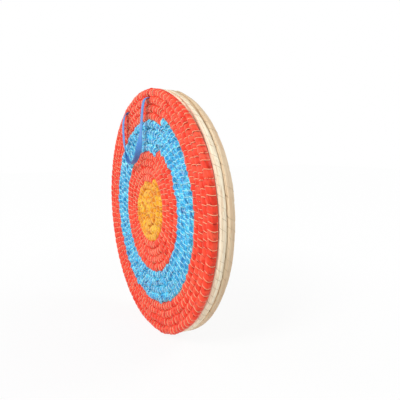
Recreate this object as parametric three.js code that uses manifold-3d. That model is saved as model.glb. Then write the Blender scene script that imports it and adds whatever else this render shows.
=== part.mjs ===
// Straw archery boss: a coloured face coil and two plain straw coils, tied together into one disc
// that stands on its rim, with a webbing strap threaded through it to hang it up by.
// Millimetres. +Z is up, the face looks along -Y, and the origin is on the floor under the disc.

import * as THREE from 'three';
import * as BufferGeometryUtils from 'three/addons/utils/BufferGeometryUtils.js';
import Module from 'manifold-3d';

const wasm = await Module();
wasm.setup();

// Coils: each coil is one rope, wound outwards in a flat spiral
const turnPitch = 15.5;          // from one turn to the next
const turnGap = 0.5;             // left between two turns
const coilStartRadius = 10;      // middle of the rope where the coil starts
const ropeThickness = 15.6;      // front to back
const layerGap = 0.3;            // left between two coils
const seatGap = 0.3;             // left between other pieces that touch
const colourTurns = 4;           // turns of the inner red ring and of the blue ring
const centreTurns = 3.5;         // turns of the gold middle, apart from the curl that starts it
const lastTurns = 4.02;          // turns of the outer red ring, up to its tapered end
const colourAngle = 67.5;        // where the colours change, in degrees above the right side
const ropeFlatShare = 0.56;      // flat width of the rope over its full width
const taperTurns = 0.16;         // stretch over which the rope's outer end thins out
const taperWidthShare = 0.34;
const taperThicknessShare = 0.5;
const footShare = 0.1;           // depth of the flat foot over the rope's thickness
const curlTurns = 0.5;           // tight curl inside the first turn
const curlHoleRadius = 1;        // the curl leaves this much open at the very middle

// Flats that stand for one turn. The inner turns have fewer, and fewest where the outer coils
// hide them, so each coil has the turns from which its medium and its fine flats run. Each count
// is twice the one before, which lets the corners of neighbouring turns meet
const coarseFlats = 6;
const mediumFlats = 2 * coarseFlats;
const fineFlats = 2 * mediumFlats;
const faceFlats = { mediumFrom: -curlTurns, fineFrom: 7.5 };
const middleFlats = { mediumFrom: 10.5, fineFrom: 14.5 };
const backFlats = { mediumFrom: -curlTurns, fineFrom: 14.5 };

// Strap
const strapWidth = 12;
const strapThickness = 1.2;
const slotClearance = 0.4;
const strapAngle = 102;          // middle of the strap, in degrees above the right side
const exitAngle = 15;            // each exit's angle from that middle
const stubLength = 8;            // fixed strap that stands out of the face at each exit
const pivotReach = 9;            // from the face to the line about which the loop swings
const backDrop = 14;             // from a slot down to the strap's run across the back
const overlapLength = 38;        // where the strap's two ends are sewn together

// Route of the hanging loop from its upper end to its lowest point. Each point has its share of
// the way to the middle, its distance in front of the face and its drop below the exit
const loopRoute = [
  [0, 9, 0], [0.003, 10.1, 5.5], [0.008, 11.2, 12], [0.017, 12.2, 21], [0.036, 13, 34],
  [0.07, 13.4, 49], [0.12, 13.6, 64], [0.195, 13.7, 79], [0.3, 13.7, 92], [0.43, 13.7, 103],
  [0.58, 13.7, 111.5], [0.77, 13.7, 117.5], [1, 13.7, 120],
];
const loopSteps = 24;            // stations on each side of the loop
const twistStartShare = 0.35;    // stretch of each side over which the strap turns edge-on
const twistEndShare = 0.9;

// Ties: twine through the groove between two turns of all three coils, knotted at both ends. The
// knots sit down in the grooves
const twineDiameter = 1.4;
const knotDiameter = 3.2;
const knotDepth = 3.2;           // from the front or back of the disc to the knot's middle
const knotSteps = 5;
const twineSides = 8;
const outerTieTurnsInside = 0;   // counted inwards from the outermost turn
const innerTieTurnsInside = 10;
const outerTieCorners = [-1, 3, 5, 8];  // in medium flats on from the angle of the colours
const innerTieCorners = [0, 2, 4];      // in coarse flats on from it

// Length by which a cutting shape stands out of what it cuts
const overrun = 5;

const ropeWidth = turnPitch - turnGap;
const layerPitch = ropeThickness + layerGap;
const discHalfDepth = layerPitch + ropeThickness / 2;
const redInnerFrom = centreTurns;
const blueFrom = redInnerFrom + colourTurns;
const redOuterFrom = blueFrom + colourTurns;
const allTurns = redOuterFrom + lastTurns;
const startAngle = colourAngle - 360 * centreTurns;
const { degToRad, lerp, smoothstep } = THREE.MathUtils;

const materials = {
  gold: new THREE.MeshStandardMaterial({ color: 0xf5a531, roughness: 0.42, metalness: 0 }),
  red: new THREE.MeshStandardMaterial({ color: 0xf2452f, roughness: 0.42, metalness: 0 }),
  blue: new THREE.MeshStandardMaterial({ color: 0x4db4e8, roughness: 0.36, metalness: 0 }),
  straw: new THREE.MeshStandardMaterial({ color: 0xe0cfab, roughness: 0.85, metalness: 0 }),
  webbing: new THREE.MeshStandardMaterial({ color: 0x3d8fdc, roughness: 0.5, metalness: 0 }),
  twine: new THREE.MeshStandardMaterial({ color: 0xe9cfc0, roughness: 0.8, metalness: 0 }),
};

// Closed tube through rings of corners
function tube(rings) {
  const sides = rings[0].length;
  const index = [];
  for (let ring = 0; ring + 1 < rings.length; ring += 1) {
    for (let side = 0; side < sides; side += 1) {
      const a = ring * sides + side;
      const b = ring * sides + (side + 1) % sides;
      index.push(a, b, a + sides, b, b + sides, a + sides);
    }
  }
  const last = (rings.length - 1) * sides;
  for (let side = 1; side < sides - 1; side += 1) {
    index.push(0, side + 1, side);
    index.push(last, last + side, last + side + 1);
  }
  const positions = rings.flat().flatMap((corner) => corner.toArray());
  const geometry = new THREE.BufferGeometry();
  geometry.setAttribute('position', new THREE.Float32BufferAttribute(positions, 3));
  geometry.setIndex(index);
  return geometry;
}

function toSolid(geometry) {
  const plain = geometry.clone();
  plain.deleteAttribute('normal');
  plain.deleteAttribute('uv');
  const merged = BufferGeometryUtils.mergeVertices(plain);
  return new wasm.Manifold(new wasm.Mesh({
    numProp: 3,
    vertProperties: new Float32Array(merged.getAttribute('position').array),
    triVerts: new Uint32Array(merged.index.array),
  }));
}

function toGeometry(solid) {
  const mesh = solid.getMesh();
  const geometry = new THREE.BufferGeometry();
  geometry.setAttribute('position', new THREE.BufferAttribute(mesh.vertProperties, 3));
  geometry.setIndex(new THREE.BufferAttribute(mesh.triVerts, 1));
  return geometry;
}

// A block between two corners in the frame of one angle of the disc: away from the middle, back,
// and on round the rim
function blockAt(degrees, low, high) {
  const size = high.map((value, axis) => value - low[axis]);
  const block = new THREE.BoxGeometry(...size);
  block.translate(...low.map((value, axis) => value + size[axis] / 2));
  block.rotateY(-degToRad(degrees));
  return toSolid(block);
}

function join(solids) {
  return solids.reduce((whole, piece) => whole.add(piece));
}

// The spiral along which the middle of the rope runs
const angleAt = (turns) => degToRad(startAngle + 360 * turns);
const radiusAt = (turns) => coilStartRadius + turnPitch * turns;

// How many turns are wound where the rope passes an angle, some turns inside the outermost one
function turnsAt(degrees, turnsInside) {
  const turns = (degrees - startAngle) / 360;
  return turns + Math.floor(allTurns - turns) - turnsInside;
}

function flatsAt(turns, { mediumFrom, fineFrom }) {
  if (turns >= fineFrom) {
    return fineFlats;
  }
  return turns >= mediumFrom ? mediumFlats : coarseFlats;
}

// The taper thins the rope's outer end and draws it in towards the turn that it lies against. In
// the curl, what lies past the middle is left off
function ropeRing(turns, layerY) {
  const tapered = smoothstep(turns, allTurns - taperTurns, allTurns);
  const thickness = ropeThickness * lerp(1, taperThicknessShare, tapered);
  const edge = radiusAt(turns) - ropeWidth / 2;
  const inner = Math.max(edge, curlHoleRadius);
  const outer = edge + ropeWidth * lerp(1, taperWidthShare, tapered);
  const width = outer - inner;
  const middle = (inner + outer) / 2;
  const flat = width * ropeFlatShare;
  const section = [
    [-width / 2, 0], [-flat / 2, -thickness / 2], [flat / 2, -thickness / 2],
    [width / 2, 0], [flat / 2, thickness / 2], [-flat / 2, thickness / 2],
  ];
  const angle = angleAt(turns);
  return section.map(([away, back]) => {
    const radius = middle + away;
    return new THREE.Vector3(radius * Math.cos(angle), layerY + back, radius * Math.sin(angle));
  });
}

// Stations along a rope between two numbers of turns. Where two colours meet, both stop short
function stations(fromTurns, toTurns, flats) {
  const gapInTurns = (turns) => seatGap / 2 / (2 * Math.PI * radiusAt(turns));
  const steps = [];
  let mark = Math.round(fromTurns * fineFlats);
  while (mark + 0.5 < toTurns * fineFlats) {
    steps.push(mark / fineFlats);
    mark += fineFlats / flatsAt(steps.at(-1), flats);
  }
  steps.push(toTurns);
  if (fromTurns > 0) {
    steps[0] += gapInTurns(fromTurns);
  }
  if (toTurns < allTurns) {
    steps[steps.length - 1] -= gapInTurns(toTurns);
  }
  return steps;
}

// Least distance from a turn's edges to the next turn's inner edge, measured on points
function leastGap(rings, steps) {
  const points = [];
  const parts = 4;
  for (let ring = 0; ring + 1 < rings.length; ring += 1) {
    for (let part = 0; part < parts; part += 1) {
      const share = part / parts;
      points.push({
        turns: lerp(steps[ring], steps[ring + 1], share),
        inner: rings[ring][0].clone().lerp(rings[ring + 1][0], share),
        outer: rings[ring][3].clone().lerp(rings[ring + 1][3], share),
      });
    }
  }
  let least = Infinity;
  for (const one of points) {
    for (const other of points) {
      const apart = other.turns - one.turns;
      if (apart > 0.25 && apart < 1.5) {
        least = Math.min(least, one.outer.distanceTo(other.inner));
        least = Math.min(least, one.inner.distanceTo(other.inner));
      }
    }
  }
  return least;
}

function coil(name, fromTurns, toTurns, layerY, flats) {
  const steps = stations(fromTurns, toTurns, flats);
  const rings = steps.map((turns) => ropeRing(turns, layerY));
  console.log(`${name}: least gap to itself ${leastGap(rings, steps).toFixed(2)} mm`);
  return tube(rings);
}

// A point in the flat-sided groove inside a turn, which all three coils have at the same place
function groovePoint(degrees, turnsInside) {
  const turns = turnsAt(degrees, turnsInside);
  const step = 1 / flatsAt(turns, middleFlats);
  const before = Math.floor(turns / step) * step;
  const edge = (at) => radiusAt(at) - ropeWidth / 2 - turnGap / 2;
  const [near, far] = [edge(before), edge(before + step)];
  const [sinceNear, toFar] = [turns - before, before + step - turns].map((t) => t * 2 * Math.PI);
  const groove = near * far * Math.sin(sinceNear + toFar)
    / (near * Math.sin(sinceNear) + far * Math.sin(toFar));
  const angle = degToRad(degrees);
  return { degrees, groove, x: groove * Math.cos(angle), z: groove * Math.sin(angle) };
}

// The lowest corner of the rim decides where the flat foot is cut
const rimCorners = stations(-curlTurns, allTurns, middleFlats).flatMap((t) => ropeRing(t, 0));
const axisHeight = -Math.min(...rimCorners.map((corner) => corner.z)) - footShare * ropeThickness;

function footCut() {
  const reach = radiusAt(allTurns) + overrun;
  const below = -axisHeight - 2 * footShare * ropeThickness - overrun;
  return blockAt(0, [-reach, -discHalfDepth - overrun, below],
    [reach, discHalfDepth + overrun, -axisHeight]);
}

// Strap: its two exits, the right one first, and the line from one to the other
const exits = [-exitAngle, exitAngle].map((turned) => groovePoint(strapAngle + turned, 0));
const [rightExit, leftExit] = exits.map(({ x, z }) => new THREE.Vector3(x, 0, z));
const exitMiddle = rightExit.clone().add(leftExit).divideScalar(2);
const exitLine = leftExit.clone().sub(rightExit).normalize();

function slotCut({ degrees, groove }) {
  const halfThickness = strapThickness / 2 + slotClearance;
  const halfWidth = strapWidth / 2 + slotClearance;
  return blockAt(degrees, [groove - halfThickness, -discHalfDepth - overrun, -halfWidth],
    [groove + halfThickness, discHalfDepth + overrun, halfWidth]);
}

// The fixed part of the strap runs through both slots and folds flat against the back, where its
// two ends overlap
function strapAnchor() {
  const backY = discHalfDepth + seatGap;
  const legs = exits.map(({ degrees, groove }) => blockAt(degrees,
    [groove - strapThickness / 2, -discHalfDepth - stubLength, -strapWidth / 2],
    [groove + strapThickness / 2, backY + strapThickness, strapWidth / 2]));
  const folds = exits.map(({ degrees, groove }) => blockAt(degrees,
    [groove - backDrop - strapWidth / 2, backY, -strapWidth / 2],
    [groove + strapThickness / 2, backY + strapThickness, strapWidth / 2]));
  const away = (exits[0].groove + exits[1].groove) / 2 - backDrop;
  const level = away * Math.cos(degToRad(exitAngle));
  const reach = away * Math.sin(degToRad(exitAngle));
  const run = blockAt(strapAngle, [level - strapWidth / 2, backY, -reach],
    [level + strapWidth / 2, backY + strapThickness, reach]);
  const overlap = blockAt(strapAngle, [level - strapWidth / 2, backY, -overlapLength / 2],
    [level + strapWidth / 2, backY + 2 * strapThickness, overlapLength / 2]);
  return toGeometry(join([...legs, ...folds, run, overlap]));
}

// One side of the loop, from its exit to the lowest point, with the strap's width turning from
// across the face to square to it. The side is 1 for the right one and -1 for the left one
function loopSide(exit, side) {
  const route = new THREE.CatmullRomCurve3(loopRoute.map(([share, forward, drop]) => {
    const point = exit.clone().lerp(exitMiddle, share);
    return point.add(new THREE.Vector3(0, -discHalfDepth - forward, -drop));
  }));
  const across = exitLine.clone().multiplyScalar(-side);
  const backwards = new THREE.Vector3(0, 1, 0);
  const rings = [];
  for (let step = 0; step <= loopSteps; step += 1) {
    const share = step / loopSteps;
    const travel = route.getTangentAt(share).multiplyScalar(side);
    if (step === loopSteps) {
      travel.copy(exitLine);
    }
    const twist = smoothstep(share, twistStartShare, twistEndShare);
    const width = across.clone().lerp(backwards, twist);
    width.addScaledVector(travel, -width.dot(travel)).normalize();
    const thick = new THREE.Vector3().crossVectors(travel, width);
    const middle = route.getPointAt(share);
    rings.push([[-1, -1], [1, -1], [1, 1], [-1, 1]].map(([w, t]) => middle.clone()
      .addScaledVector(width, w * strapWidth / 2)
      .addScaledVector(thick, t * strapThickness / 2)));
  }
  return rings;
}

function strapLoop() {
  const right = loopSide(rightExit, 1);
  const left = loopSide(leftExit, -1);
  return tube([...right, ...left.reverse().slice(1)]);
}

function tie({ x, z }) {
  const neck = Math.acos(twineDiameter / knotDiameter);
  const profile = [];
  for (let step = 1; step <= knotSteps; step += 1) {
    const turned = lerp(-Math.PI / 2, neck, step / knotSteps);
    profile.push([knotDiameter / 2 * Math.cos(turned),
      knotDepth - discHalfDepth + knotDiameter / 2 * Math.sin(turned)]);
  }
  const mirrored = profile.map(([radius, y]) => [radius, -y]).reverse();
  return tube([...profile, ...mirrored].map(([radius, y]) => {
    const ring = [];
    for (let side = 0; side < twineSides; side += 1) {
      const angle = 2 * Math.PI * side / twineSides;
      ring.push(new THREE.Vector3(x + radius * Math.sin(angle), y, z + radius * Math.cos(angle)));
    }
    return ring;
  }));
}

function tieCut({ degrees, groove }) {
  const half = twineDiameter / 2 + seatGap;
  const reach = discHalfDepth + overrun;
  return blockAt(degrees, [groove - half, -reach, -half], [groove + half, reach, half]);
}

// The ties pass through at corners of the turns, where the grooves of all coils line up
function cornerPoint(corner, flats, turnsInside) {
  return groovePoint(colourAngle + 360 * corner / flats, turnsInside);
}

const ties = [
  ...outerTieCorners.map((corner) => cornerPoint(corner, mediumFlats, outerTieTurnsInside)),
  ...innerTieCorners.map((corner) => cornerPoint(corner, coarseFlats, innerTieTurnsInside)),
];
const cuts = join([footCut(), ...exits.map(slotCut), ...ties.map(tieCut)]);

function cutCoil(name, fromTurns, toTurns, layer, flats) {
  const whole = toSolid(coil(name, fromTurns, toTurns, layer * layerPitch, flats));
  return toGeometry(whole.subtract(cuts));
}

const boss = new THREE.Group();
boss.position.z = axisHeight;

function add(name, geometry, material) {
  const mesh = new THREE.Mesh(geometry, material);
  mesh.name = name;
  boss.add(mesh);
}

const faceColours = [
  ['face_coil_gold', -curlTurns, redInnerFrom, materials.gold],
  ['face_coil_red_inner', redInnerFrom, blueFrom, materials.red],
  ['face_coil_blue', blueFrom, redOuterFrom, materials.blue],
  ['face_coil_red_outer', redOuterFrom, allTurns, materials.red],
];
for (const [name, fromTurns, toTurns, material] of faceColours) {
  add(name, cutCoil(name, fromTurns, toTurns, -1, faceFlats), material);
}
add('middle_straw_coil', cutCoil('middle_straw_coil', -curlTurns, allTurns, 0, middleFlats),
  materials.straw);
add('back_straw_coil', cutCoil('back_straw_coil', -curlTurns, allTurns, 1, backFlats),
  materials.straw);
add('strap_anchor', strapAnchor(), materials.webbing);
add('strap_loop', strapLoop(), materials.webbing);
ties.forEach((place, number) => {
  add(`layer_tie_${number + 1}`, tie(place), materials.twine);
});

const pivot = exitMiddle.clone();
pivot.y = -discHalfDepth - pivotReach;
pivot.z += axisHeight;
const digits = (vector, count) => vector.toArray().map((value) => value.toFixed(count)).join(' ');
console.log(`axis of the disc ${axisHeight.toFixed(2)} mm above the floor`);
console.log(`strap swings about ${digits(pivot, 2)} mm, along ${digits(exitLine, 5)}`);
exits.forEach(({ x, z }) => {
  console.log(`exit at x ${x.toFixed(2)}, z ${(z + axisHeight).toFixed(2)} mm`);
});

export default boss;
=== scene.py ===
"""Straw archery boss: the looks of its coils, stitches, strap and ties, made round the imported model."""

import math

import bpy
import numpy as np
from mathutils import Matrix, Vector


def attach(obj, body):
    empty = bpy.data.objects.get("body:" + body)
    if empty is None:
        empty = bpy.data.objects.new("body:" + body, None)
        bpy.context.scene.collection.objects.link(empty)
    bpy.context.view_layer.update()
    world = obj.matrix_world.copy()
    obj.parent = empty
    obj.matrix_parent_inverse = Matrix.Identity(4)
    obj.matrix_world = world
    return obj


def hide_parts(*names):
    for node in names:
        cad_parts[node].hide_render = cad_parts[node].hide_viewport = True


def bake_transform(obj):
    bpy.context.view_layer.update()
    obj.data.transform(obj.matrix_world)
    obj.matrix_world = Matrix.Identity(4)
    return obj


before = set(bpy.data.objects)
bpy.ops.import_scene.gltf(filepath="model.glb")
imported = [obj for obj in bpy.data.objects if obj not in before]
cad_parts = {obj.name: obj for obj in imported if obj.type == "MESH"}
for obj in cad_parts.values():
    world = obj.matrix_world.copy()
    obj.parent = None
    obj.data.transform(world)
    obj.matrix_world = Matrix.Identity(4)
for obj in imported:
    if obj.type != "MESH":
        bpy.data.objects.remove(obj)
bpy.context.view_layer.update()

MM = 0.001
TAU = 2 * math.pi

# The coils' spiral, in millimetres and turns, as in the frame

PITCH = 15.5
START_RADIUS = 10.0
GOLD_END = 3.5
RED_INNER_END = 7.5
BLUE_END = 11.5
BORDER = 0.01
ALL_TURNS = 15.52
BORDER_DEGREES = 67.5
START_ANGLE = math.radians(BORDER_DEGREES - 360 * GOLD_END)
AXIS_Z = 247.58
LAYER_PITCH = 15.9
HALF_DEPTH = 23.7
HALF_WIDTH = 7.75
HALF_THICK = 7.85
FACE_SQUARENESS = 0.88
STRAW_SQUARENESS = 0.8

# The rope's ends: it is sewn from half a turn before turn 0, and its curl goes on to the disc's middle

SEWN_FROM = -0.5
CURL_START = -0.98
CURL_HOLE = 0.6
TAPER_TURNS = 0.16
TAPER_WIDTH = 0.10
TAPER_THICK = 0.32

# The foot, pressed flat just over the floor, in millimetres

FLOOR_CLEAR = 0.1
FOOT_SOFTNESS = 0.8

# Stitches of the face: their distance apart in millimetres, and their shape in parts of it

INNER_STITCH = 10.2
BLUE_STITCH_MORE = 1.7
BLUE_STITCH_TURNS = (4.5, 8.0)
RIM_STITCH_MORE = 2.1
RIM_STITCH_TURNS = (12.4, 15.2)
SLANT = 0.16
ARCH = 0.13
STITCH_WANDER = 0.13

# Ribbon cells between the stitches, in millimetres and degrees

FULL_CELL = 15.0
PUFF_HEIGHT = 1.35
PUFF_SPREAD = 0.7
PUFF_LEVEL = 0.7
CELL_STEP = 0.7
DENT_DEPTH = 0.15
DENT_WIDTH = 0.9
LEAN = 14
LEAN_SPREAD = 16
LEAN_LENGTH = 70.0
CREASE_SPACING = 1.9
CREASE_DEPTH = 0.5
CREASE_SHARPNESS = 2.8
FINE_DEPTH = 0.09
# Place and width of the painted shadow below each stitch
STITCH_SHADOW_OFFSET = 0.9
STITCH_SHADOW_WIDTH = 0.8
SPECK_SIZE = 1.4
FACE_WANDER = 0.35
FACE_WANDER_LENGTH = 55.0

# Flat folds of a cell

FACET_PLANES = 5
FACET_OFFSET = 0.9
FACET_STRETCH = 0.45

# Stalks and sewing of the straw, in millimetres and turns

STALKS = 25
STALK_TWIST = 0.012
STALK_HEIGHT = 0.36
STALK_SPREAD = 0.42
STALK_LENGTH = 95.0
STRAW_SPACING = 17.0
STRAW_SEWN_FROM = 14.5
STRAW_STITCH_WANDER = 0.16
STRAW_STITCH_WANDER_LENGTH = 60.0
STRAW_WANDER = 0.5
STRAW_WANDER_LENGTH = 48.0

# Seeds of the fixed random patterns

CELL_SEEDS = (1, 2, 3)
STITCH_SEED = 5
CREASE_SEED = 9
FINE_SEED = 10
PLAIN_SEED = 11
LEAN_SEED = 12
SPECK_SEED = 17
FACE_WANDER_SEED = 21
FACET_SEED = 30
STRAW_SEED = 40
STRAW_SEEDS_A_LAYER = 20
LOOP_SEED = 71
BACK_STRAP_SEED = 74


def smoothstep(low, high, x):
    """0 up to low, 1 from high on, and smooth between."""
    x = np.clip((np.asarray(x, float) - low) / (high - low), 0, 1)
    return x * x * (3 - 2 * x)


def bell(x, width):
    """1 where x is 0, falling off on both sides."""
    return np.exp(-((x / width) ** 2))


def squared(wave, squareness):
    """A sine or cosine, squarer the lower the squareness."""
    return np.sign(wave) * np.abs(wave) ** squareness


def hash01(i, j=0, seed=0):
    """A fixed pseudo-random number from 0 to 1 for each pair of whole numbers."""
    i, j = np.broadcast_arrays(np.asarray(i, np.int64), np.asarray(j, np.int64))
    n = (i * 374761393 + j * 668265263 + seed * 974634777) & 0xFFFFFFFF
    n = ((n ^ (n >> 13)) * 1274126177) & 0xFFFFFFFF
    n = ((n ^ (n >> 16)) * 2246822519) & 0xFFFFFFFF
    return ((n ^ (n >> 15)) & 0xFFFFFF) / float(0x1000000)


def noise(x, y=0.0, seed=0):
    """Smooth value noise from -1 to 1."""
    x, y = np.broadcast_arrays(np.asarray(x, float), np.asarray(y, float))
    i, j = np.floor(x).astype(np.int64), np.floor(y).astype(np.int64)
    u, v = x - i, y - j
    u, v = u * u * (3 - 2 * u), v * v * (3 - 2 * v)
    low = hash01(i, j, seed) * (1 - u) + hash01(i + 1, j, seed) * u
    high = hash01(i, j + 1, seed) * (1 - u) + hash01(i + 1, j + 1, seed) * u
    return 2 * (low * (1 - v) + high * v) - 1


def radius_at(t):
    return START_RADIUS + PITCH * t


def angle_at(t):
    return START_ANGLE + TAU * t


def arc_at(t):
    """Length along the rope's middle, from turn 0."""
    return TAU * (START_RADIUS * t + PITCH / 2 * t * t)


def taper_at(t):
    """0 along the rope, rising to 1 at its outer end."""
    return smoothstep(ALL_TURNS - TAPER_TURNS, ALL_TURNS, t)


def on_outermost_turn(t):
    return smoothstep(ALL_TURNS - 1.02, ALL_TURNS - 0.98, t)


def stitch_length(t):
    """Distance between two stitches along the face rope, longer towards the rim."""
    return (INNER_STITCH + BLUE_STITCH_MORE * smoothstep(*BLUE_STITCH_TURNS, t)
            + RIM_STITCH_MORE * smoothstep(*RIM_STITCH_TURNS, t))


STITCH_TURNS = np.linspace(SEWN_FROM, ALL_TURNS + 0.2, 16001)
STITCHES_A_TURN = TAU * radius_at(STITCH_TURNS) / stitch_length(STITCH_TURNS)
STITCH_STEPS = (STITCHES_A_TURN[1:] + STITCHES_A_TURN[:-1]) / 2 * np.diff(STITCH_TURNS)
STITCH_NUMBERS = np.concatenate([[0], np.cumsum(STITCH_STEPS)])


def stitch_count(t):
    """Stitches along the face rope up to t, as a running number."""
    return np.interp(t, STITCH_TURNS, STITCH_NUMBERS)


def turns_of_stitch(number):
    return np.interp(number, STITCH_NUMBERS, STITCH_TURNS)


def stitch_place(t, across):
    """Running number of the stitch at a place on the face rope. The stitches cross it in arcs."""
    q = stitch_count(t) + SLANT * across / 2 + ARCH * across * across
    return q + STITCH_WANDER * noise(q * 0.9, t * 3.0, STITCH_SEED)


def section(t, phi, squareness):
    """Place of the rope's undisturbed skin: away from the disc's middle, back, and across the rope."""
    taper = taper_at(t)
    edge = radius_at(t) - HALF_WIDTH
    inner = np.maximum(edge, CURL_HOLE)
    outer = edge + 2 * HALF_WIDTH * (1 - (1 - TAPER_WIDTH) * taper)
    half_width = (outer - inner) / 2
    half_thick = HALF_THICK * (1 - (1 - TAPER_THICK) * taper)
    across = squared(np.cos(phi), squareness)
    return (inner + outer) / 2 + half_width * across, half_thick * squared(np.sin(phi), squareness), across


def to_space(away, back, t, layer):
    """Points in metres, in the row's frame. The foot is pressed flat on the floor."""
    angle = angle_at(t)
    x = away * np.cos(angle)
    z = away * np.sin(angle) + AXIS_Z
    z = FLOOR_CLEAR + FOOT_SOFTNESS * np.logaddexp(0, (z - FLOOR_CLEAR) / FOOT_SOFTNESS)
    y = back + layer * LAYER_PITCH
    return np.stack(np.broadcast_arrays(x, y, z), -1) * MM


def outward_from_rope(t, phi):
    """Direction away from the rope's middle line."""
    angle = angle_at(t)
    parts = np.cos(phi) * np.cos(angle), np.sin(phi), np.cos(phi) * np.sin(angle)
    return np.stack(np.broadcast_arrays(*parts), -1)


def over_rim(t, phi):
    """How much of the face's sewing shows here: its front, and the outermost turn's rim."""
    front = smoothstep(-0.25, 0.55, -np.sin(phi))
    rim = on_outermost_turn(t) * smoothstep(-0.2, 0.6, np.cos(phi))
    return np.maximum(front, rim * smoothstep(0.75, 0.2, np.sin(phi)))


def facets(k, along, w, lean, slope, size):
    """Crumpled film: a few tilted planes to each cell, with crisp folds where they meet."""
    c, s = np.cos(lean), np.sin(lean)
    x, y = (along * c - w * s) / size, (along * s + w * c) / size
    planes, tones = [], []
    for n in range(FACET_PLANES):
        turn = TAU * (hash01(k, n, FACET_SEED) + n / (FACET_PLANES + 1))
        tilt = slope * (0.45 + 0.8 * hash01(k, n, FACET_SEED + 1))
        offset = FACET_OFFSET * (hash01(k, n, FACET_SEED + 2) - 0.5)
        planes.append(tilt * (FACET_STRETCH * x * np.cos(turn) + y * np.sin(turn) + offset))
        tones.append(hash01(k, n, FACET_SEED + 3))
    planes, tones = np.stack(np.broadcast_arrays(*planes)), np.stack(np.broadcast_arrays(*tones))
    # The middle one of the planes gives both ridges and valleys
    half = FACET_PLANES // 2
    pick = np.argsort(planes, axis=0)[half:half + 1]
    height = np.take_along_axis(planes, pick, 0)[0]
    tone = np.take_along_axis(tones, pick, 0)[0]
    return height * size, tone


def face_relief(t, phi, across):
    """Height of the ribbon over the plain rope, in millimetres, its painted shade and its tone."""
    s = arc_at(t)
    w = phi * HALF_WIDTH
    q = stitch_place(t, across)
    k = np.floor(q)
    f = q - k
    length = stitch_length(t)
    small = np.clip(length / FULL_CELL, 0.6, 1)
    along = (f - 0.5) * length
    flank = HALF_WIDTH * across
    near = np.minimum(f, 1 - f) * length
    one, two, three = (hash01(k, 0, seed) for seed in CELL_SEEDS)
    shown = over_rim(t, phi)
    rim = on_outermost_turn(t) * smoothstep(-0.1, 0.1, np.cos(phi))
    gold = smoothstep(GOLD_END, GOLD_END - BORDER, t)
    blue = smoothstep(RED_INNER_END - BORDER, RED_INNER_END, t) * smoothstep(BLUE_END, BLUE_END - BORDER, t)

    # A cell swells between its two stitches, and steps down to the next
    puff = np.sin(np.pi * np.clip(f, 0.001, 0.999)) ** 0.6
    relief = (PUFF_HEIGHT + PUFF_SPREAD * (one - 0.5)) * small * (puff - PUFF_LEVEL)
    relief = relief - DENT_DEPTH * bell(near, DENT_WIDTH)
    relief = relief - CELL_STEP * (f - 0.5) * small

    # Its film lies in flat folds, which lean a little differently in each cell
    drift = noise(s / LEAN_LENGTH, t, LEAN_SEED)
    lean = np.radians(LEAN + LEAN_SPREAD * drift + LEAN_SPREAD * (three - 0.5)) * (1 + 0.5 * blue)
    slope = 0.38 + 0.42 * blue + 0.12 * gold
    size = (3.2 + 1.4 * small) * (1 - 0.32 * blue)
    folded, tone = facets(k, along, flank, lean, slope, size)
    relief = relief + folded * (0.4 + 0.6 * puff) * (1 - 0.6 * rim)

    # Creases run along the folds, deepest where a stitch gathers the film
    aslant = flank * np.cos(lean) + along * np.sin(lean)
    wave = noise(aslant / (CREASE_SPACING * (0.6 + 0.4 * small)) + 31 * two, k * 7.31, CREASE_SEED)
    valley = 1 - np.clip(np.abs(wave) * CREASE_SHARPNESS, 0, 1)
    gather = bell(near, 0.24 * length)
    relief = relief - CREASE_DEPTH * valley**1.4 * (0.15 + 0.85 * gather + 0.25 * blue)
    fine = FINE_DEPTH * noise(w / 0.9 + along * 0.12, s / 7.0, FINE_SEED)

    # The blue film is brighter and darker by turns: the lighter net round its cells, by the stitches and
    # the rope's sides, is painted highlight, and the specks vary the tone at random
    net = bell(near, 0.2 * length) + 0.55 * smoothstep(0.5, 0.8, np.abs(across))
    speck = noise(along / SPECK_SIZE + 9 * one, flank / SPECK_SIZE, SPECK_SEED)
    blue_tone = np.clip(0.08 + 0.36 * tone + 0.44 * net + 0.5 * speck, 0, 1)
    tone = np.where(blue > 0.5, blue_tone, tone)

    # Painted shade lies below the stitches as a painted shadow, in the creases and lows, and in the grooves
    # between turns
    below = bell((f - 1) * length + STITCH_SHADOW_OFFSET, STITCH_SHADOW_WIDTH) + bell(f * length + STITCH_SHADOW_OFFSET, STITCH_SHADOW_WIDTH)
    low = np.clip(-folded / 0.9, 0, 1)
    crack = np.clip(1 - np.abs(wave) * (CREASE_SHARPNESS + 2.2 * blue), 0, 1)
    shade = 0.45 * below + 0.7 * crack**2 * gather + (0.22 + 1.05 * blue + 0.3 * gold) * crack**2
    shade = np.clip(shade + 0.12 * low, 0, 1)
    groove = smoothstep(0.9, 1.0, np.abs(across)) * (0.32 + 0.28 * blue + 0.85 * gather)
    shade = np.maximum(shade, 0.9 * groove * (1 - rim))

    # Behind, where no sewing shows, the film is nearly smooth
    plain = 0.35 + 0.25 * noise(s / 9.0, w / 5.0, PLAIN_SEED)
    swell = puff * smoothstep(0.55, 1.0, np.abs(across)) * smoothstep(0.3, -0.1, np.sin(phi))
    height = shown * (relief + fine) + (1 - shown) * plain + swell
    height = height * (1 - 0.85 * taper_at(t))
    return height, np.clip(shown * shade, 0, 1), tone


def straw_seed(layer):
    return STRAW_SEED + STRAW_SEEDS_A_LAYER * layer


def straw_slant(t):
    """How far a stitch of the straw leads from one side of the rope to the other, in spacings."""
    return 0.3 + 0.7 * smoothstep(STRAW_SEWN_FROM - 0.2, STRAW_SEWN_FROM, t)


def straw_stitch_count(s, seed):
    """Stitches along the straw rope up to s, as a running number."""
    wander = noise(s / STRAW_STITCH_WANDER_LENGTH, 0, seed + 5)
    return s / STRAW_SPACING + STRAW_STITCH_WANDER * wander


def signed_turn(phi):
    """Angle round the rope over a half turn, from -1 to 1, with the jump on the hidden inner side."""
    return np.mod(phi / math.pi + 1, 2) - 1


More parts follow.
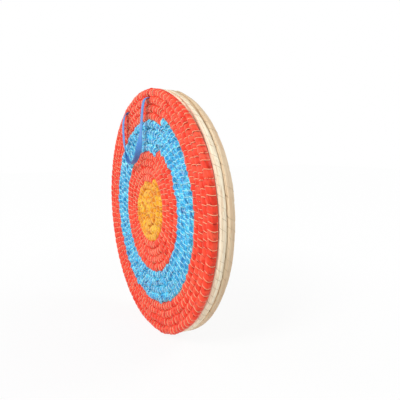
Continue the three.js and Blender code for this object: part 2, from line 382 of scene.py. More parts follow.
def straw_relief(t, phi, seed):
    """Height of the stalks over the plain rope, in millimetres, their painted shade and their tone."""
    s = arc_at(t)
    w = phi * HALF_WIDTH

    # Stalks lie side by side along the rope, each a piece some length long
    lay = (phi / TAU) * STALKS + s * STALK_TWIST + 0.55 * noise(s / 38.0, phi * 1.2, seed)
    number = np.floor(lay)
    f = lay - number
    number = np.mod(number, 997)
    piece = np.floor(s / STALK_LENGTH + hash01(number, 3, seed) * 5.0)
    tall = hash01(number, piece, seed + 1)
    relief = STALK_HEIGHT * (1 - (2 * f - 1) ** 2) ** 0.8 - 0.2
    relief = relief + STALK_SPREAD * (tall - 0.5)
    relief = relief + 0.35 * noise(s / 30.0, phi, seed + 2) + 0.18 * noise(s / 9.0, w / 4.0, seed + 3)
    relief = relief + 0.10 * noise(s / 12.0, w / 0.8, seed + 4)

    # Some stitches are pulled tight, and bite into the rope's sides
    q = straw_stitch_count(s, seed) + straw_slant(t) * signed_turn(phi)
    near = np.abs(q - np.round(q)) * STRAW_SPACING
    rim = smoothstep(ALL_TURNS - 1.1, ALL_TURNS - 0.9, t)
    side = smoothstep(0.55, 0.95, np.abs(np.sin(phi)) * rim + np.abs(np.cos(phi)) * (1 - rim))
    tight = hash01(np.round(q), 1, seed + 9)
    bite = side * tight**4
    relief = relief - (0.05 + 0.3 * tight**2 + 0.8 * bite) * bell(near, 2.0)
    # Painted shade darkens the gaps between stalks and the bites of the tight stitches
    gap = bell(1 - np.abs(2 * f - 1), 0.22)
    shade = 0.3 * gap + (0.25 * tight**2 + 0.75 * bite) * bell(near, 1.1)
    return relief, np.clip(shade, 0, 1), tall


def face_surface(t, phi, lift=0.0):
    """Points of the face rope's skin, with their painted shade and tone."""
    away, back, across = section(t, phi, FACE_SQUARENESS)
    height, shade, tint = face_relief(t, phi, across)
    wander = FACE_WANDER * noise(arc_at(t) / FACE_WANDER_LENGTH, 0, FACE_WANDER_SEED)
    away = away + (height + lift) * np.cos(phi) + wander
    back = back + (height + lift) * np.sin(phi)
    return to_space(away, back, t, -1), shade, tint


def straw_surface(t, phi, layer, lift=0.0):
    """Points of a straw rope's skin, with their painted shade and tone."""
    away, back, across = section(t, phi, STRAW_SQUARENESS)
    seed = straw_seed(layer)
    height, shade, tint = straw_relief(t, phi, seed)
    height = height * (1 - 0.8 * taper_at(t))
    wander = STRAW_WANDER * noise(arc_at(t) / STRAW_WANDER_LENGTH, 0, seed + 7)
    away = away + (height + lift) * np.cos(phi) + wander
    back = back + (height + lift) * np.sin(phi)
    # Painted shade in the grooves between the coils
    groove = smoothstep(0.8, 1.0, np.abs(np.sin(phi) if layer == 0 else across))
    return to_space(away, back, t, layer), np.maximum(shade, 0.3 * groove), tint


def middle_surface(t, phi):
    return straw_surface(t, phi, 0)


def back_surface(t, phi):
    return straw_surface(t, phi, 1)


# Meshes

RINGS_A_TURN = 44
TIGHTEST_RADIUS = 2.0


def stations(t0, t1, step):
    """Turns along the rope, a step apart in millimetres, or closer where the bend is tight."""
    found = [t0]
    while found[-1] < t1:
        around = TAU * max(radius_at(found[-1]), TIGHTEST_RADIUS)
        found.append(found[-1] + min(step, around / RINGS_A_TURN) / around)
    found = np.array(found)
    return t0 + (found - t0) * (t1 - t0) / (found[-1] - t0)


def mesh_object(name, points, *groups, smooth=True):
    """A mesh in the scene. Each group holds faces of one size, as rows of their corners' numbers."""
    mesh = bpy.data.meshes.new(name)
    mesh.vertices.add(len(points))
    mesh.vertices.foreach_set("co", np.asarray(points, np.float32).ravel())
    sizes = np.concatenate([np.full(len(group), group.shape[1]) for group in groups])
    corners = np.concatenate([group.ravel() for group in groups]).astype(np.int32)
    starts = np.concatenate([[0], np.cumsum(sizes)[:-1]]).astype(np.int32)
    mesh.loops.add(len(corners))
    mesh.loops.foreach_set("vertex_index", corners)
    mesh.polygons.add(len(sizes))
    mesh.polygons.foreach_set("loop_start", starts)
    mesh.polygons.foreach_set("use_smooth", np.full(len(sizes), smooth))
    mesh.update(calc_edges=True)
    mesh.validate()
    thing = bpy.data.objects.new(name, mesh)
    bpy.context.scene.collection.objects.link(thing)
    return thing


def point_values(thing, name, values):
    """Writes one number a point, which the materials read."""
    attribute = thing.data.attributes.new(name, "FLOAT", "POINT")
    attribute.data.foreach_set("value", np.asarray(values, np.float32).ravel())


def tube_faces(rings, sides):
    """Quads between the rings of a tube."""
    i = np.arange(rings - 1)[:, None] * sides
    j = np.arange(sides)[None, :]
    after = (j + 1) % sides
    return np.stack([i + j, i + after, i + sides + after, i + sides + j], -1).reshape(-1, 4)


def tube_caps(rings, sides):
    """The two end faces of a tube, as two rows of corners."""
    j = np.arange(sides)
    return np.stack([j[::-1], (rings - 1) * sides + j])


def rope_piece(name, t0, t1, step, sides, crowd, surface, material):
    """One closed length of rope. The crowd value gathers corners at the front or, below 0, the back."""
    t = stations(t0, t1, step)
    u = np.arange(sides) / sides * TAU
    phi = u - crowd * np.cos(u)
    grid, shade, tint = surface(t[:, None], phi[None, :])
    middles = np.stack([grid[0].mean(0), grid[-1].mean(0)])
    points = np.concatenate([grid.reshape(-1, 3), middles])
    j = np.arange(sides)
    after = (j + 1) % sides
    last = (len(t) - 1) * sides
    first_cap = np.stack([j, after, np.full(sides, len(points) - 2)], -1)
    last_cap = np.stack([last + after, last + j, np.full(sides, len(points) - 1)], -1)
    thing = mesh_object(name, points, tube_faces(len(t), sides)[:, ::-1], first_cap, last_cap)
    for label, values in (
        ("along", arc_at(t)[:, None] * MM),
        ("around", phi[None, :] * HALF_WIDTH * MM),
        ("shade", shade),
        ("tint", tint),
    ):
        flat = np.broadcast_to(values, grid.shape[:2]).reshape(-1)
        point_values(thing, label, np.concatenate([flat, flat[:1], flat[-1:]]))
    thing.data.materials.append(material)
    return thing


def threads(name, paths, outward, radius, sides, material):
    """Many short threads as one mesh. Paths and outward are (thread, point, 3), in metres."""
    count, length, _ = paths.shape
    along = unit(np.gradient(paths, axis=1))
    side = unit(np.cross(along, outward))
    up = np.cross(side, along)
    turn = np.arange(sides) / sides * TAU
    around = side[:, :, None] * np.cos(turn)[:, None] + up[:, :, None] * np.sin(turn)[:, None]
    points = paths[:, :, None] + around * radius * MM
    points[..., 2] = np.maximum(points[..., 2], FLOOR_CLEAR * MM)
    firsts = np.arange(count)[:, None, None] * (length * sides)
    quads = (tube_faces(length, sides) + firsts).reshape(-1, 4)
    caps = (tube_caps(length, sides) + firsts).reshape(-1, sides)
    thing = mesh_object(name, points.reshape(-1, 3), quads, caps)
    thing.data.materials.append(material)
    return thing


def unit(vectors):
    return vectors / (np.linalg.norm(vectors, axis=-1, keepdims=True) + 1e-12)


# Materials


def linear(red, green, blue):
    """Linear colour of 8-bit screen values."""
    return tuple(
        v / 12.92 if v <= 0.04045 else ((v + 0.055) / 1.055) ** 2.4
        for v in (red / 255, green / 255, blue / 255)
    )


def shaded(colour, tone):
    return tuple(a * b for a, b in zip(colour, tone))


def node_material(name):
    material = bpy.data.materials.new(name)
    material.use_nodes = True
    tree = material.node_tree
    return material, tree, tree.nodes["Principled BSDF"]


def add_node(tree, kind, **values):
    """A new node. Each value goes into the input of that name, or else is a setting of the node."""
    node = tree.nodes.new(kind)
    for key, value in values.items():
        if key in node.inputs:
            node.inputs[key].default_value = value
        else:
            setattr(node, key, value)
    return node


def math_node(tree, operation, first, second):
    """One operation on two outputs, or on an output and a number."""
    node = add_node(tree, "ShaderNodeMath", operation=operation)
    tree.links.new(first, node.inputs[0])
    if isinstance(second, float):
        node.inputs[1].default_value = second
    else:
        tree.links.new(second, node.inputs[1])
    return node.outputs[0]


def value_of(tree, attribute):
    return add_node(tree, "ShaderNodeAttribute", attribute_name=attribute).outputs["Fac"]


def stretched_noise(tree, along_scale, around_scale, detail=3.0):
    """Noise over the rope's skin, with its own scale along and around the rope."""
    place = add_node(tree, "ShaderNodeCombineXYZ")
    for socket, attribute, scale in (("X", "along", along_scale), ("Y", "around", around_scale)):
        scaled = math_node(tree, "MULTIPLY", value_of(tree, attribute), scale)
        tree.links.new(scaled, place.inputs[socket])
    grain = add_node(tree, "ShaderNodeTexNoise", Scale=1.0, Detail=detail, Roughness=0.55)
    tree.links.new(place.outputs[0], grain.inputs["Vector"])
    return grain.outputs["Fac"]


def ramp(tree, factor, stops):
    """Colours between stops, each a place from 0 to 1 and a linear colour."""
    node = tree.nodes.new("ShaderNodeValToRGB")
    elements = node.color_ramp.elements
    elements[0].position, elements[0].color = stops[0][0], (*stops[0][1], 1)
    elements[1].position, elements[1].color = stops[-1][0], (*stops[-1][1], 1)
    for place, colour in stops[1:-1]:
        elements.new(place).color = (*colour, 1)
    tree.links.new(factor, node.inputs["Fac"])
    return node.outputs["Color"]


def mixed(tree, factor, first, second, blend="MIX"):
    """Two colours mixed. The factor is an output or a number, and the second may be a fixed colour."""
    node = add_node(tree, "ShaderNodeMix", data_type="RGBA", blend_type=blend)
    if isinstance(factor, float):
        node.inputs[0].default_value = factor
    else:
        tree.links.new(factor, node.inputs[0])
    tree.links.new(first, node.inputs[6])
    if isinstance(second, tuple):
        node.inputs[7].default_value = (*second, 1)
    else:
        tree.links.new(second, node.inputs[7])
    return node.outputs[2]


def mixed_shader(tree, factor, first, second):
    node = add_node(tree, "ShaderNodeMixShader")
    for number, output in enumerate((factor, first, second)):
        tree.links.new(output, node.inputs[number])
    return node.outputs[0]


def add_bump(tree, shader, height, strength, distance):
    bump = add_node(tree, "ShaderNodeBump", Strength=strength, Distance=distance)
    tree.links.new(height, bump.inputs["Height"])
    tree.links.new(bump.outputs["Normal"], shader.inputs["Normal"])


def ribbon_material(name, stops, dark, roughness, specular):
    """Glossy film in flat folds of slightly different tone, darker with painted shade in its seams, creases
    and grooves.
    """
    material, tree, shader = node_material(name)
    tone = ramp(tree, value_of(tree, "tint"), [(place, linear(*colour)) for place, colour in stops])
    grain = stretched_noise(tree, 55.0, 900.0)
    streak = ramp(tree, grain, [(0.3, (0.84, 0.84, 0.84)), (0.6, (1.0, 1.0, 1.0))])
    whole = mixed(tree, 1.0, tone, streak, "MULTIPLY")
    colour = mixed(tree, value_of(tree, "shade"), whole, linear(*dark))
    tree.links.new(colour, shader.inputs["Base Color"])
    shader.inputs["Roughness"].default_value = roughness
    shader.inputs["Specular IOR Level"].default_value = specular
    add_bump(tree, shader, stretched_noise(tree, 120.0, 2200.0, 2.0), 0.3, 0.0004)
    return material


STALK_STOPS = [
    (0.0, (244, 222, 192)), (0.35, (255, 240, 210)), (0.7, (255, 250, 226)), (1.0, (252, 230, 200)),
]
# Painted shade, mixed in between stalks, at tight stitches and in the grooves between coils
STRAW_PAINTED_SHADE = (156, 118, 88)


def straw_material(name, tone):
    """Dry stalks, streaked along the rope, with brown painted shade where they meet, at tight stitches and
    in the grooves between coils.
    """
    material, tree, shader = node_material(name)
    streak = stretched_noise(tree, 22.0, 700.0, 4.0)
    stops = [(place, shaded(linear(*colour), tone)) for place, colour in STALK_STOPS]
    stalk = ramp(tree, value_of(tree, "tint"), stops)
    shadow = ramp(tree, streak, [(0.3, (0.82, 0.76, 0.69)), (0.6, (1.0, 1.0, 1.0))])
    whole = mixed(tree, 0.8, stalk, shadow, "MULTIPLY")
    colour = mixed(tree, value_of(tree, "shade"), whole, linear(*STRAW_PAINTED_SHADE))
    tree.links.new(colour, shader.inputs["Base Color"])
    shader.inputs["Roughness"].default_value = 0.62
    shader.inputs["Specular IOR Level"].default_value = 0.35
    add_bump(tree, shader, stretched_noise(tree, 60.0, 2600.0, 3.0), 0.5, 0.0005)
    return material


def plain_material(name, colour, roughness, dark=0.72):
    """One colour with a little grain, for threads and twine."""
    material, tree, shader = node_material(name)
    spot = add_node(tree, "ShaderNodeTexNoise", Scale=900.0, Detail=3.0)
    place = add_node(tree, "ShaderNodeTexCoord")
    tree.links.new(place.outputs["Object"], spot.inputs["Vector"])
    bright = linear(*colour)
    spots = ramp(tree, spot.outputs["Fac"], [(0.35, shaded(bright, (dark, dark, dark))), (0.65, bright)])
    tree.links.new(spots, shader.inputs["Base Color"])
    shader.inputs["Roughness"].default_value = roughness
    add_bump(tree, shader, spot.outputs["Fac"], 0.4, 0.0002)
    return material


def webbing_material(name):
    """Woven strap: fine ribs across it, crossed by fine stripes along it."""
    material, tree, shader = node_material(name)
    place = add_node(tree, "ShaderNodeCombineXYZ")
    tree.links.new(value_of(tree, "along"), place.inputs["X"])
    tree.links.new(value_of(tree, "around"), place.inputs["Y"])
    ribs = add_node(tree, "ShaderNodeTexWave", Scale=260.0, Distortion=0.6, Detail=1.0)
    tree.links.new(place.outputs[0], ribs.inputs["Vector"])
    warp = add_node(tree, "ShaderNodeTexWave", Scale=210.0, Distortion=0.3, bands_direction="Y")
    tree.links.new(place.outputs[0], warp.inputs["Vector"])
    weave = math_node(tree, "MULTIPLY", ribs.outputs["Fac"], warp.outputs["Fac"])
    colour = ramp(tree, weave, [(0.0, linear(44, 112, 190)), (0.5, linear(92, 166, 238))])
    tree.links.new(colour, shader.inputs["Base Color"])
    shader.inputs["Roughness"].default_value = 0.48
    shader.inputs["Sheen Weight"].default_value = 0.15
    add_bump(tree, shader, weave, 0.5, 0.0003)
    return material


# The dark colour of each ribbon is its painted shade, mixed in by the shade attribute
gold = ribbon_material(
    "gold_ribbon",
    stops=[(0.0, (222, 122, 10)), (0.45, (253, 170, 26)), (1.0, (255, 208, 66))],
    dark=(170, 84, 12), roughness=0.36, specular=0.22,
)
red = ribbon_material(
    "red_ribbon",
    stops=[(0.0, (238, 60, 40)), (0.5, (250, 74, 50)), (1.0, (255, 98, 70))],
    dark=(160, 22, 14), roughness=0.4, specular=0.15,
)
blue = ribbon_material(
    "blue_ribbon",
    stops=[(0.0, (14, 116, 186)), (0.4, (46, 182, 238)), (0.75, (100, 228, 255)), (1.0, (156, 246, 255))],
    dark=(4, 58, 116), roughness=0.2, specular=0.5,
)
straw = straw_material("straw", (1.0, 1.0, 1.0))
# The back coil's straw is darker: partly a tanner tone of its own, partly painted shade
tan_and_shaded_straw = straw_material("tan_and_shaded_straw", (0.86, 0.77, 0.69))
webbing = webbing_material("webbing")
red_thread = plain_material("red_thread", (255, 196, 152), 0.45, dark=0.94)
blue_thread = plain_material("blue_thread", (190, 242, 255), 0.32, dark=0.92)
gold_thread = plain_material("gold_thread", (255, 206, 104), 0.4, dark=0.92)
straw_thread = plain_material("straw_thread", (190, 172, 138), 0.6, dark=0.85)
strap_thread = plain_material("strap_thread", (28, 84, 160), 0.5)
twine = plain_material("twine", (206, 164, 120), 0.75)

# The camera stands where the photograph's stood

EYE = Vector((0.80232, -0.35216, 0.12860 + AXIS_Z * MM))
LOOK = Vector((-0.86407, 0.48750, -0.12542))
UP = Vector((-0.10739, 0.06490, 0.99210))
FOCAL_PIXELS = 420.0
PICTURE_PIXELS = 400
SENSOR_WIDTH = 36.0

camera_data = bpy.data.cameras.new("camera")
camera_data.sensor_width = SENSOR_WIDTH
camera_data.lens = FOCAL_PIXELS / PICTURE_PIXELS * SENSOR_WIDTH
camera = bpy.data.objects.new("camera", camera_data)
bpy.context.scene.collection.objects.link(camera)
right = LOOK.cross(UP).normalized()
up = right.cross(LOOK).normalized()
turned = Matrix((right, up, -LOOK.normalized())).transposed().to_4x4()
camera.matrix_world = Matrix.Translation(EYE) @ turned
bpy.context.scene.camera = camera

# Strap, in millimetres: a loop that hangs in front of the face, and a fixed part across the back

STRAP_WIDTH = 12.0
STRAP_THICK = 1.2
EXITS = [(87.0, 11.84, 473.47), (117.0, -103.28, 450.27)]
FACE_Y = -HALF_DEPTH
BACKWARDS = np.array([0, 1.0, 0])
MIDDLE = np.array([(EXITS[0][1] + EXITS[1][1]) / 2, 0, (EXITS[0][2] + EXITS[1][2]) / 2])
HINGE_FORWARD = 9
# Across the line between the exits, down the face
# Share of the way to the middle, distance in front of the face, drop below the exit
ROUTE = [
    (0, -13, 0), (0, -8, 0), (0, -3, 0), (0, 1.2, 0.3), (0, 4.4, 1.5), (0.001, 7.0, 4.0),
    (0.003, 8.9, 8), (0.008, 10.4, 13.5), (0.017, 11.8, 22), (0.036, 12.8, 34), (0.07, 13.3, 49),
    (0.12, 13.6, 64), (0.195, 13.7, 79), (0.3, 13.7, 92), (0.43, 13.7, 103), (0.58, 13.7, 111.5),
    (0.77, 13.7, 117.5), (1, 13.7, 120),
]
LOOP_STEP = 0.42
LOOP_TILT = 0.25


def smooth_curve(points, step):
    """Points a step apart on a natural cubic spline through the given ones."""
    points = np.asarray(points, float)
    gaps = np.linalg.norm(np.diff(points, axis=0), axis=1)
    knots = np.concatenate([[0], np.cumsum(gaps)])
    matrix, values = np.eye(len(points)), np.zeros_like(points)
    slopes = np.diff(points, axis=0) / gaps[:, None]
    for i in range(1, len(points) - 1):
        matrix[i, i - 1:i + 2] = gaps[i - 1], 2 * (gaps[i - 1] + gaps[i]), gaps[i]
        values[i] = 6 * (slopes[i] - slopes[i - 1])
    bend = np.linalg.solve(matrix, values)
    s = np.linspace(0, knots[-1], int(knots[-1] * 8))
    i = np.clip(np.searchsorted(knots, s) - 1, 0, len(gaps) - 1)
    a, b, h = (s - knots[i])[:, None], (knots[i + 1] - s)[:, None], gaps[i][:, None]
    line = (bend[i] * b**3 + bend[i + 1] * a**3) / (6 * h)
    line += (points[i + 1] / h - bend[i + 1] * h / 6) * a + (points[i] / h - bend[i] * h / 6) * b
    run = np.concatenate([[0], np.cumsum(np.linalg.norm(np.diff(line, axis=0), axis=1))])
    even = np.linspace(0, run[-1], max(2, int(round(run[-1] / step)) + 1))
    return np.stack([np.interp(even, run, line[:, axis]) for axis in range(3)], -1), even


def strap_mesh(name, middle, flat_way, along):
    """Woven band round a grid of its middle surface. Both grids are (along, across, 3)."""
    n, m, _ = middle.shape
    share = np.linspace(-1, 1, m)
    s = along[:, None]
    w = share[None, :] * STRAP_WIDTH / 2
    rounded = np.sqrt(np.clip(1 - np.abs(share) ** 9, 0, 1))[None, :]
    weave = 0.07 * np.cos(TAU * s / 1.25 + 1.2 * np.cos(TAU * w / 3.0)) * (1 - np.abs(share) ** 6)[None, :]
    cord_edge = 0.16 * bell(np.abs(w) - STRAP_WIDTH / 2 + 0.7, 0.45)
    half = (STRAP_THICK / 2 + cord_edge) * rounded + weave
    top = middle + flat_way * half[..., None]
    under = middle - flat_way * half[..., None]
    ring = np.concatenate([top, under[:, ::-1]], axis=1)
    thing = mesh_object(name, ring.reshape(-1, 3) * MM, tube_faces(n, 2 * m), tube_caps(n, 2 * m))
    around = np.concatenate([w, w[:, ::-1]], axis=1)
    point_values(thing, "along", np.broadcast_to(s, ring.shape[:2]) * MM)
    point_values(thing, "around", np.broadcast_to(around, ring.shape[:2]) * MM)
    thing.data.materials.append(webbing)
    return thing


def outward_at(degrees):
    angle = math.radians(degrees)
    return np.array([math.cos(angle), 0, math.sin(angle)])


def tangent_at(degrees):
    angle = math.radians(degrees)
    return np.array([-math.sin(angle), 0, math.cos(angle)])


def hanging_loop():
    """The loose loop, from inside one slot, down the face and back into the other slot."""
    sides = []
    for _, x, z in EXITS:
        start = np.array([x, 0, z])
        inward = MIDDLE - start
        sides.append([
            start + inward * share + (0, FACE_Y - forward, -drop) for share, forward, drop in ROUTE
        ])
    line, along = smooth_curve(sides[0] + sides[1][-2::-1], LOOP_STEP)
    total = along[-1]
    from_end = np.minimum(along, total - along)
    to_hinge = -ROUTE[0][1] + HINGE_FORWARD
    share = np.clip((from_end - to_hinge) / (total / 2 - to_hinge), 0, 1)

    # The band's width turns from the slot's direction to level, and at the bottom to front to back
    right_leg = (along < total / 2)[:, None]
    level = np.where(right_leg, (1.0, 0, 0), (-1.0, 0, 0))
    slot_way = np.where(right_leg, -tangent_at(EXITS[0][0]), tangent_at(EXITS[1][0]))
    from_slot = smoothstep(14, 44, from_end)[:, None]
    width = unit(slot_way * (1 - from_slot) + level * from_slot)
    twist = smoothstep(0.35, 0.97, share)[:, None]
    width = width * (1 - twist) + BACKWARDS * twist
    travel = unit(np.gradient(line, axis=0))
    width = unit(width - (width * travel).sum(-1, keepdims=True) * travel)
    flat = np.cross(travel, width)
    places = np.linspace(-1, 1, 15)[None, :, None] * STRAP_WIDTH / 2
    sway = LOOP_TILT * (noise(along / 26.0, 3.3, LOOP_SEED) * np.sin(TAU * np.clip(share, 0, 1)))
    middle = line[:, None] + width[:, None] * places + sway[:, None, None] * flat[:, None]
    loop = strap_mesh("hanging_strap_loop", middle, np.broadcast_to(flat[:, None], middle.shape), along)
    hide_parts("strap_loop")
    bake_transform(loop)


hanging_loop()

STRAP_START = -12.0
BACK_LEVEL = 24.9
FOLD = 0.75
DOWN_THE_BACK = 14.0
OVERLAP = 38.0
SLOT_BEND = 1.8
BACK_STRAP_STEP = 0.4
BACK_STRAP_POINTS = 21
SAG = 0.12
SEAM_LENGTH = 30.0
SEAM_WIDTH = 8.0
SEAM_STITCH = 2.5
SEAM_RISE = np.array([-0.25, 0.12, 0.22, 0.12, -0.25])


def fold_corner(degrees, x, z):
    """Where the strap's middle line turns on the back, on its way to the other slot."""
    return outward_at(degrees) * (math.hypot(x, z - AXIS_Z) - DOWN_THE_BACK)


def back_end(number, corners):
    """One end of the strap: through its slot, down the back, folded over and on to the other end."""
    degrees, x, z = EXITS[number]
    out, width_way = outward_at(degrees), tangent_at(degrees)
    groove = math.hypot(x, z - AXIS_Z)
    corner = corners[number]
    towards = unit(corners[1 - number] - corner)
    crease = unit(towards - out)
    across_crease = np.array([-crease[2], 0, crease[0]])
    across_crease = across_crease * np.sign(-(across_crease * out).sum())

    # The strap as it would lie without its fold
    straight = BACK_LEVEL - SLOT_BEND - STRAP_START
    bend = SLOT_BEND * math.pi / 2
    half_run = np.linalg.norm(corners[1] - corners[0]) / 2
    total = straight + bend + (DOWN_THE_BACK - SLOT_BEND) + half_run + OVERLAP / 2
    s = np.linspace(0, total, int(total / BACK_STRAP_STEP))
    w = np.linspace(-1, 1, BACK_STRAP_POINTS) * STRAP_WIDTH / 2
    turn = np.clip((s - straight) / SLOT_BEND, 0, math.pi / 2)
    past = np.maximum(s - straight - bend, 0)
    radial = groove - SLOT_BEND * (1 - np.cos(turn)) - past
    y = STRAP_START + np.minimum(s, straight) + SLOT_BEND * np.sin(turn)
    flat = np.stack([radial[:, None] * out[i] + w[None, :] * width_way[i] for i in range(3)], -1)
    normal = np.cos(turn)[:, None] * out + np.sin(turn)[:, None] * BACKWARDS
    normal = np.broadcast_to(normal[:, None], flat.shape)

    # What lies beyond the crease rolls over it, towards the other slot
    beyond = ((flat - corner) * across_crease).sum(-1) * (s > straight + bend)[:, None]
    beyond = np.maximum(beyond, 0)
    angle = np.clip(beyond / FOLD, 0, math.pi)
    rest = np.maximum(beyond - math.pi * FOLD, 0)
    shift = FOLD * np.sin(angle) - rest - beyond
    middle = flat + shift[..., None] * across_crease
    lifted = FOLD * (1 - np.cos(angle))
    if number == 1:
        run = ((middle - corner) * towards).sum(-1) * (beyond > 0)
        lifted = lifted - 2 * FOLD * smoothstep(9, 28, run)
    sag = SAG * noise(s / 17.0, w[0], BACK_STRAP_SEED + number)[:, None]
    middle = middle + BACKWARDS * (y[:, None] + lifted + sag)[..., None]
    middle = middle + np.array([0, 0, AXIS_Z])
    folded = angle[..., None]
    rolled = np.cos(folded) * BACKWARDS - np.sin(folded) * across_crease
    normal = np.where(folded > 0, rolled, normal)
    return strap_mesh(f"fixed_strap_{number + 1}", middle, normal, s)


def strap_seam(corners):
    """Stitches through both ends where they overlap: a box with its two diagonals."""
    level = BACK_LEVEL + 2 * FOLD + STRAP_THICK / 2
    centre = (corners[0] + corners[1]) / 2 + (0, level, AXIS_Z)
    towards = unit(corners[1] - corners[0])
    side = np.array([-towards[2], 0, towards[0]])
    a, b = SEAM_LENGTH / 2, SEAM_WIDTH / 2
    runs = [[(-a, -b), (a, -b), (a, b), (-a, b), (-a, -b), (a, b)], [(-a, b), (a, -b)]]
    paths = []
    for p, q in [pair for run in runs for pair in zip(run, run[1:])]:
        count = int(round(math.dist(p, q) / SEAM_STITCH))
        for k in range(count):
            share = (k + 0.06 + 0.88 * np.linspace(0, 1, len(SEAM_RISE))) / count
            u, v = p[0] + (q[0] - p[0]) * share, p[1] + (q[1] - p[1]) * share
            paths.append(centre + u[:, None] * towards + v[:, None] * side + SEAM_RISE[:, None] * BACKWARDS)
    paths = np.array(paths) * MM
    return threads("strap_seam", paths, np.broadcast_to(BACKWARDS, paths.shape), 0.24, 6, strap_thread)


fold_corners = [fold_corner(*exit_place) for exit_place in EXITS]
for piece in (back_end(0, fold_corners), back_end(1, fold_corners), strap_seam(fold_corners)):
    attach(piece, "boss")
    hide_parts("strap_anchor")

# Ropes: the piece, its node, first and last turn, step, sides, crowd, surface, material and slot

RIM_PIECE_START = 13.5
INNER_END = 14.2
FACE_CROWD = 0.42
BACK_CROWD = -0.3
ROPES = [
    ("face_rope_gold", "face_coil_gold", CURL_START, GOLD_END,
     1.0, 30, FACE_CROWD, face_surface, gold, "gold_ribbon"),
    ("face_rope_red_inner", "face_coil_red_inner", GOLD_END, RED_INNER_END,
     1.1, 30, FACE_CROWD, face_surface, red, "red_ribbon"),
    ("face_rope_blue", "face_coil_blue", RED_INNER_END, BLUE_END,
     1.22, 30, FACE_CROWD, face_surface, blue, "blue_ribbon"),
    ("face_rope_red_outer", "face_coil_red_outer", BLUE_END, RIM_PIECE_START,
     1.2, 30, FACE_CROWD, face_surface, red, "red_ribbon"),
    ("face_rope_red_rim", "face_coil_red_outer", RIM_PIECE_START, ALL_TURNS,
     1.2, 32, FACE_CROWD, face_surface, red, "red_ribbon"),
    ("middle_straw_inner_turns", "middle_straw_coil", CURL_START, INNER_END,
     9.0, 14, 0.0, middle_surface, straw, "straw"),
    ("middle_straw_outer_turn", "middle_straw_coil", INNER_END, ALL_TURNS,
     1.6, 44, 0.0, middle_surface, straw, "straw"),
    ("back_straw_turns", "back_straw_coil", CURL_START, INNER_END,
     4.6, 34, BACK_CROWD, back_surface, tan_and_shaded_straw, "straw"),
    ("back_straw_outer_turn", "back_straw_coil", INNER_END, ALL_TURNS,
     1.6, 44, 0.0, back_surface, tan_and_shaded_straw, "straw"),
]
for name, node, t0, t1, step, sides, crowd, surface, material, slot in ROPES:
    piece = rope_piece(name, t0, t1, step, sides, crowd, surface, material)
    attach(piece, "boss")
    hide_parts(node)

# Stitches

FACE_STITCH_POINTS = 11
FACE_STITCH_FROM = math.radians(-12)
RIM_STITCH_FROM = math.radians(38)
FACE_STITCH_TO = math.radians(-168)
FACE_STITCH_LIFT = 0.55
FACE_THREAD = 0.54
STRAW_THREAD = 0.26


def face_stitches(name, t0, t1, material):
    """Each crosses a turn, from the groove outside it to the groove inside it."""
    first = math.ceil(float(stitch_count(t0)) + 0.15)
    last = math.floor(float(stitch_count(min(t1, ALL_TURNS - 0.04))) - 0.05)
    k = np.arange(first, last + 1)[:, None]
    share = np.linspace(0, 1, FACE_STITCH_POINTS)[None, :]
    outer = np.where(turns_of_stitch(k) > ALL_TURNS - 1.0, RIM_STITCH_FROM, FACE_STITCH_FROM)
    phi = outer + (FACE_STITCH_TO - outer) * share
    across = squared(np.cos(phi), FACE_SQUARENESS)
    t = turns_of_stitch(k - SLANT * across / 2 - ARCH * across * across)
    for _ in range(3):
        t = turns_of_stitch(stitch_count(t) + k - stitch_place(t, across))
    paths, _, _ = face_surface(t, phi, FACE_STITCH_LIFT)
    return threads(name, paths, outward_from_rope(t, phi), FACE_THREAD, 6, material)


def straw_stitches(name, layer, t0, t1, from_degrees, to_degrees, points=13):
    """Each crosses the part of a straw rope that shows, and lies more or less deep in it."""
    seed = straw_seed(layer)
    t = np.linspace(t0, t1, 20001)
    count = straw_stitch_count(arc_at(t), seed)
    k = np.arange(math.ceil(count[0] + 0.3), math.floor(count[-1] - 0.3) + 1)[:, None]
    share = np.linspace(0, 1, points)[None, :]
    phi = np.radians(from_degrees + (to_degrees - from_degrees) * share)
    slant = straw_slant(np.interp(k, count, t))
    at = np.interp(k - slant * signed_turn(phi), count, t)
    paths, _, _ = straw_surface(at, phi, layer, 0.2 - 0.55 * hash01(k, 2, seed + 9))
    return threads(name, paths, outward_from_rope(at, phi), STRAW_THREAD, 5, straw_thread)


sewing = [
    face_stitches("gold_stitches", SEWN_FROM, GOLD_END, gold_thread),
    face_stitches("red_inner_stitches", GOLD_END, RED_INNER_END, red_thread),
    face_stitches("blue_stitches", RED_INNER_END, BLUE_END, blue_thread),
    face_stitches("red_outer_stitches", BLUE_END, ALL_TURNS, red_thread),
    straw_stitches("middle_straw_stitches", 0, STRAW_SEWN_FROM, ALL_TURNS - 0.02, -80, 80),
    straw_stitches("back_rim_stitches", 1, STRAW_SEWN_FROM, ALL_TURNS - 0.02, -80, 165, 19),
    straw_stitches("back_straw_stitches", 1, 0.6, STRAW_SEWN_FROM, 14, 166),
]
for piece in sewing:
    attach(piece, "boss")

# Ties keep their shape

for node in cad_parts:
    if node.startswith("layer_tie"):
        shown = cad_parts[node]
        shown.data.materials.clear()
        shown.data.materials.append(twine)

# Floor, backdrop and lights

WHITE = (1, 1, 1, 1)
FLOOR_GREY = (0.86, 0.86, 0.86, 1)
FLOOR_HALF = 6.0
# How white the floor looks, by the distance from its middle: the shadow shows near the object alone
FLOOR_FADE = [(0.25, (0.88, 0.88, 0.88)), (0.8, (0.985, 0.985, 0.985))]
AMBIENT = 0.52
AIM = (0, 0, 0.25)


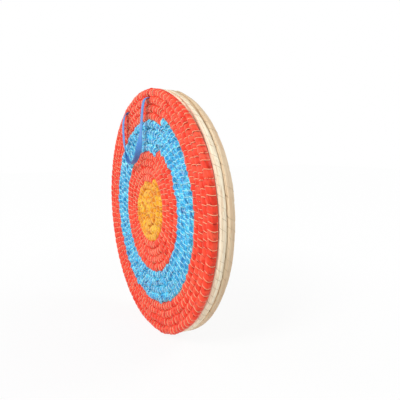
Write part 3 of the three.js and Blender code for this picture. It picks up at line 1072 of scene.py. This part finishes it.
def stage_material():
    """A pale cloth that light falls on, and that looks white to the camera and in reflections."""
    material = bpy.data.materials.new("stage")
    material.use_nodes = True
    tree = material.node_tree
    tree.nodes.clear()
    out = tree.nodes.new("ShaderNodeOutputMaterial")
    cloth = add_node(tree, "ShaderNodeBsdfDiffuse", Color=FLOOR_GREY).outputs[0]
    glow = add_node(tree, "ShaderNodeEmission", Color=WHITE, Strength=1.0).outputs[0]
    place = add_node(tree, "ShaderNodeTexCoord")
    away = add_node(tree, "ShaderNodeVectorMath", operation="LENGTH")
    tree.links.new(place.outputs["Object"], away.inputs[0])
    seen = mixed_shader(tree, ramp(tree, away.outputs["Value"], FLOOR_FADE), cloth, glow)
    rays = add_node(tree, "ShaderNodeLightPath").outputs
    directly = math_node(tree, "MAXIMUM", rays["Is Camera Ray"], rays["Is Glossy Ray"])
    directly = math_node(tree, "MAXIMUM", directly, rays["Is Transmission Ray"])
    tree.links.new(mixed_shader(tree, directly, cloth, seen), out.inputs["Surface"])
    return material


def white_world():
    """Even light from all sides, and a white backdrop."""
    world = bpy.data.worlds.new("world")
    bpy.context.scene.world = world
    world.use_nodes = True
    sky = world.node_tree
    sky.nodes.clear()
    out = sky.nodes.new("ShaderNodeOutputWorld")
    ambient = add_node(sky, "ShaderNodeBackground", Color=WHITE, Strength=AMBIENT).outputs[0]
    white = add_node(sky, "ShaderNodeBackground", Color=WHITE, Strength=1.0).outputs[0]
    rays = add_node(sky, "ShaderNodeLightPath").outputs
    sky.links.new(mixed_shader(sky, rays["Is Camera Ray"], ambient, white), out.inputs["Surface"])


def area_light(name, place, size, power):
    data = bpy.data.lights.new(name, "AREA")
    data.shape = "DISK"
    data.size = size
    data.energy = power
    lamp = bpy.data.objects.new(name, data)
    lamp.location = place
    lamp.rotation_euler = (Vector(AIM) - Vector(place)).to_track_quat("-Z", "Y").to_euler()
    bpy.context.scene.collection.objects.link(lamp)


floor_corners = np.array([(-1, -1, 0), (1, -1, 0), (1, 1, 0), (-1, 1, 0)], float) * FLOOR_HALF
floor = mesh_object("floor", floor_corners, np.array([[0, 1, 2, 3]]), smooth=False)
floor.data.materials.append(stage_material())
white_world()
area_light("key", (0.95, -1.7, 1.6), 0.8, 31)
area_light("fill", (-1.6, -1.3, 0.9), 1.4, 9)
area_light("rear", (0.6, 1.9, 1.5), 1.2, 18)

bpy.context.scene.view_settings.view_transform = "Standard"
